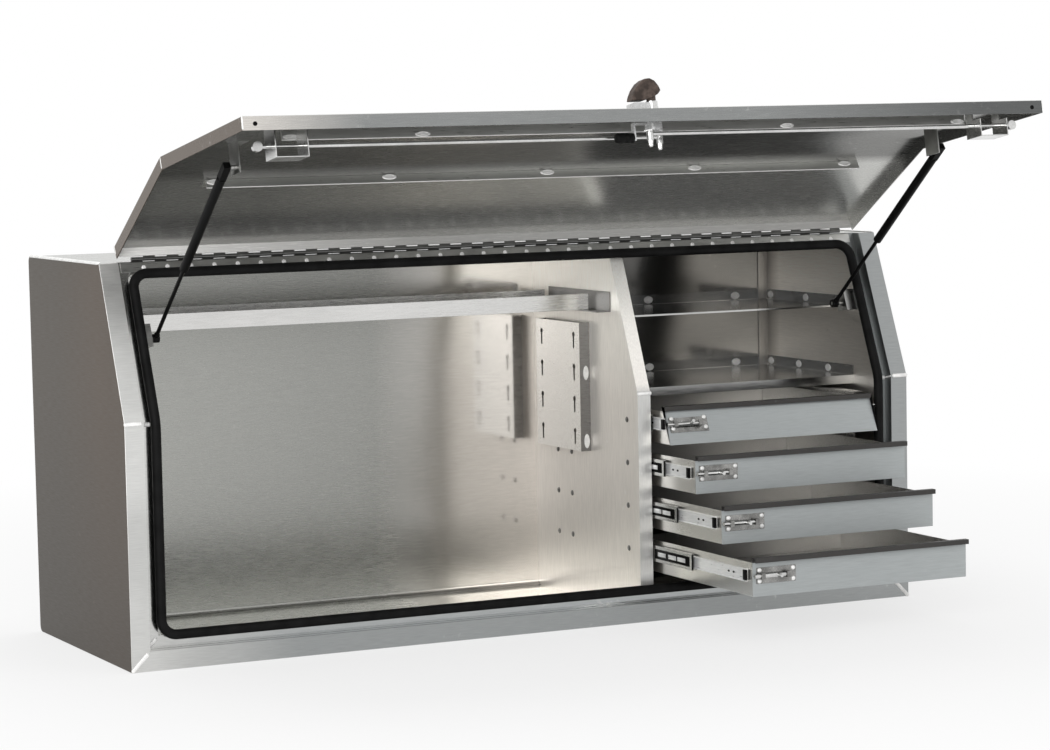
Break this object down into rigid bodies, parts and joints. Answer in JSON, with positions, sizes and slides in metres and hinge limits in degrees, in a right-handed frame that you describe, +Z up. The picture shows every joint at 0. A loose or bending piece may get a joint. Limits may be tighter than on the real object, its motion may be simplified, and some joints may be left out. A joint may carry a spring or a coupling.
{
  "type": "truck toolbox",
  "caption": "Sloped-front aluminium truck toolbox with a gas-strut lid and rubber seal, a long bay with a shelf, and a side bay of sliding drawers with barrel bolts.",
  "frame": {"origin": "middle of the floor's underside", "axes": "+X along the box towards the drawers, -Y out of the opening, +Z up"},
  "size_m": [1.8, 1.1788, 1.1425],
  "materials": {
    "body_sheet": "satin mill aluminium",
    "frame_sheet": "bright brushed aluminium",
    "lid_sheet": "satin mill aluminium",
    "shelf_sheet": "satin aluminium",
    "drawer_sheet": "satin aluminium",
    "hinge_steel": "brushed stainless",
    "fitting_steel": "bright zinc plate",
    "slide_steel": "clear zinc plate",
    "seal_rubber": "matt black rubber",
    "strut_black": "satin black paint",
    "strut_rod": "black nitrided steel",
    "handle_black": "dark textured paint"
  },
  "bodies": {
    "carcass": {"wrapper_sheet": "body_sheet", "left_end_panel": "body_sheet", "right_end_panel": "body_sheet", "left_post": "frame_sheet", "right_post": "frame_sheet", "sill_rail": "frame_sheet", "hinge_header": "frame_sheet", "bulb_seal": "seal_rubber", "hinge_body_leaf": "hinge_steel", "hinge_pin": "hinge_steel", "rivets": "hinge_steel", "slide_screws": "hinge_steel", "strut_body_brackets": "fitting_steel", "divider": "shelf_sheet", "keyhole_channel": "shelf_sheet", "tool_shelf": "shelf_sheet", "shelf_hangers": "shelf_sheet", "upper_shelf": "shelf_sheet", "drawer_deck": "shelf_sheet", "drawer_side_panel": "shelf_sheet", "cabinet_slides": "slide_steel"},
    "lid": {"lid_pan": "lid_sheet", "lid_lower_rib": "lid_sheet", "lid_upper_rib": "lid_sheet", "hinge_lid_leaf": "hinge_steel", "lock_body": "fitting_steel", "rod_guides": "fitting_steel", "strut_lid_brackets": "fitting_steel"},
    "lock": {"lock_handle": "handle_black", "lock_cam": "fitting_steel"},
    "left_rod": {"left_lock_rod": "fitting_steel"},
    "right_rod": {"right_lock_rod": "fitting_steel"},
    "left_strut_rod": {"left_strut_rod": "strut_rod"},
    "left_strut_tube": {"left_strut_tube": "strut_black"},
    "right_strut_rod": {"right_strut_rod": "strut_rod"},
    "right_strut_tube": {"right_strut_tube": "strut_black"},
    "drawer_one": {"drawer_one_tray": "drawer_sheet", "drawer_one_front": "drawer_sheet", "drawer_one_latch": "fitting_steel", "drawer_one_inner_slides": "slide_steel"},
    "drawer_one_runners": {"drawer_one_middle_slides": "slide_steel"},
    "drawer_one_bolt": {"drawer_one_bolt": "fitting_steel"},
    "drawer_two": {"drawer_two_tray": "drawer_sheet", "drawer_two_front": "drawer_sheet", "drawer_two_latch": "fitting_steel", "drawer_two_inner_slides": "slide_steel"},
    "drawer_two_runners": {"drawer_two_middle_slides": "slide_steel"},
    "drawer_two_bolt": {"drawer_two_bolt": "fitting_steel"},
    "drawer_three": {"drawer_three_tray": "drawer_sheet", "drawer_three_front": "drawer_sheet", "drawer_three_latch": "fitting_steel", "drawer_three_inner_slides": "slide_steel"},
    "drawer_three_runners": {"drawer_three_middle_slides": "slide_steel"},
    "drawer_three_bolt": {"drawer_three_bolt": "fitting_steel"},
    "drawer_four": {"drawer_four_tray": "drawer_sheet", "drawer_four_front": "drawer_sheet", "drawer_four_latch": "fitting_steel", "drawer_four_inner_slides": "slide_steel"},
    "drawer_four_runners": {"drawer_four_middle_slides": "slide_steel"},
    "drawer_four_bolt": {"drawer_four_bolt": "fitting_steel"}
  },
  "joints": [
    {"name": "lid_hinge", "type": "hinge", "parent": "carcass", "child": "lid", "pos_m": [0, -0.1483, 0.805], "axis": [-1, 0, 0], "range_deg": [-99.5, 0]},
    {"name": "lock_turn", "type": "hinge", "parent": "lid", "child": "lock", "pos_m": [0, -0.81777, 1.07591], "axis": [0, -0.165, -0.9863], "range_deg": [-90, 0]},
    {"name": "left_rod_slide", "type": "slide", "parent": "lid", "child": "left_rod", "axis": [1, 0, 0], "range_m": [-0.042, 0]},
    {"name": "right_rod_slide", "type": "slide", "parent": "lid", "child": "right_rod", "axis": [1, 0, 0], "range_m": [0, 0.042]},
    {"name": "left_strut_swing", "type": "hinge", "parent": "carcass", "child": "left_strut_rod", "pos_m": [-0.79, -0.18112, 0.64689], "axis": [-1, 0, 0], "range_deg": [-116, 0]},
    {"name": "left_strut_stroke", "type": "slide", "parent": "left_strut_rod", "child": "left_strut_tube", "axis": [0, -0.779, 0.6271], "range_m": [-0.21374, 0]},
    {"name": "right_strut_swing", "type": "hinge", "parent": "carcass", "child": "right_strut_rod", "pos_m": [0.79, -0.18112, 0.64689], "axis": [-1, 0, 0], "range_deg": [-116, 0]},
    {"name": "right_strut_stroke", "type": "slide", "parent": "right_strut_rod", "child": "right_strut_tube", "axis": [0, -0.779, 0.6271], "range_m": [-0.21374, 0]},
    {"name": "drawer_one_slide", "type": "slide", "parent": "carcass", "child": "drawer_one", "axis": [0, -1, 0], "range_m": [-0.098, 0.362]},
    {"name": "drawer_one_runner_slide", "type": "slide", "parent": "carcass", "child": "drawer_one_runners", "axis": [0, -1, 0], "range_m": [-0.049, 0.181]},
    {"name": "drawer_one_bolt_slide", "type": "slide", "parent": "drawer_one", "child": "drawer_one_bolt", "axis": [1, 0, 0], "range_m": [-0.022, 0]},
    {"name": "drawer_two_slide", "type": "slide", "parent": "carcass", "child": "drawer_two", "axis": [0, -1, 0], "range_m": [-0.206, 0.254]},
    {"name": "drawer_two_runner_slide", "type": "slide", "parent": "carcass", "child": "drawer_two_runners", "axis": [0, -1, 0], "range_m": [-0.103, 0.127]},
    {"name": "drawer_two_bolt_slide", "type": "slide", "parent": "drawer_two", "child": "drawer_two_bolt", "axis": [1, 0, 0], "range_m": [-0.022, 0]},
    {"name": "drawer_three_slide", "type": "slide", "parent": "carcass", "child": "drawer_three", "axis": [0, -1, 0], "range_m": [-0.314, 0.146]},
    {"name": "drawer_three_runner_slide", "type": "slide", "parent": "carcass", "child": "drawer_three_runners", "axis": [0, -1, 0], "range_m": [-0.157, 0.073]},
    {"name": "drawer_three_bolt_slide", "type": "slide", "parent": "drawer_three", "child": "drawer_three_bolt", "axis": [1, 0, 0], "range_m": [-0.022, 0]},
    {"name": "drawer_four_slide", "type": "slide", "parent": "carcass", "child": "drawer_four", "axis": [0, -1, 0], "range_m": [-0.438, 0.022]},
    {"name": "drawer_four_runner_slide", "type": "slide", "parent": "carcass", "child": "drawer_four_runners", "axis": [0, -1, 0], "range_m": [-0.219, 0.011]},
    {"name": "drawer_four_bolt_slide", "type": "slide", "parent": "drawer_four", "child": "drawer_four_bolt", "axis": [1, 0, 0], "range_m": [-0.022, 0]}
  ],
  "couplings": [
    {"joint": "left_rod_slide", "follows": "lock_turn", "m_per_rad": 0.026738},
    {"joint": "right_rod_slide", "follows": "lock_turn", "m_per_rad": -0.026738},
    {"joint": "left_strut_swing", "follows": "lid_hinge", "ratio": 1.1658},
    {"joint": "left_strut_stroke", "follows": "lid_hinge", "m_per_rad": 0.12308},
    {"joint": "right_strut_swing", "follows": "lid_hinge", "ratio": 1.1658},
    {"joint": "right_strut_stroke", "follows": "lid_hinge", "m_per_rad": 0.12308},
    {"joint": "drawer_one_slide", "follows": "lid_hinge", "m_per_rad": 0.056432},
    {"joint": "drawer_one_runner_slide", "follows": "lid_hinge", "m_per_rad": 0.028216},
    {"joint": "drawer_two_slide", "follows": "lid_hinge", "m_per_rad": 0.11862},
    {"joint": "drawer_two_runner_slide", "follows": "lid_hinge", "m_per_rad": 0.059311},
    {"joint": "drawer_three_slide", "follows": "lid_hinge", "m_per_rad": 0.18081},
    {"joint": "drawer_three_runner_slide", "follows": "lid_hinge", "m_per_rad": 0.090406},
    {"joint": "drawer_four_slide", "follows": "lid_hinge", "m_per_rad": 0.25222},
    {"joint": "drawer_four_runner_slide", "follows": "lid_hinge", "m_per_rad": 0.12611}
  ]
}
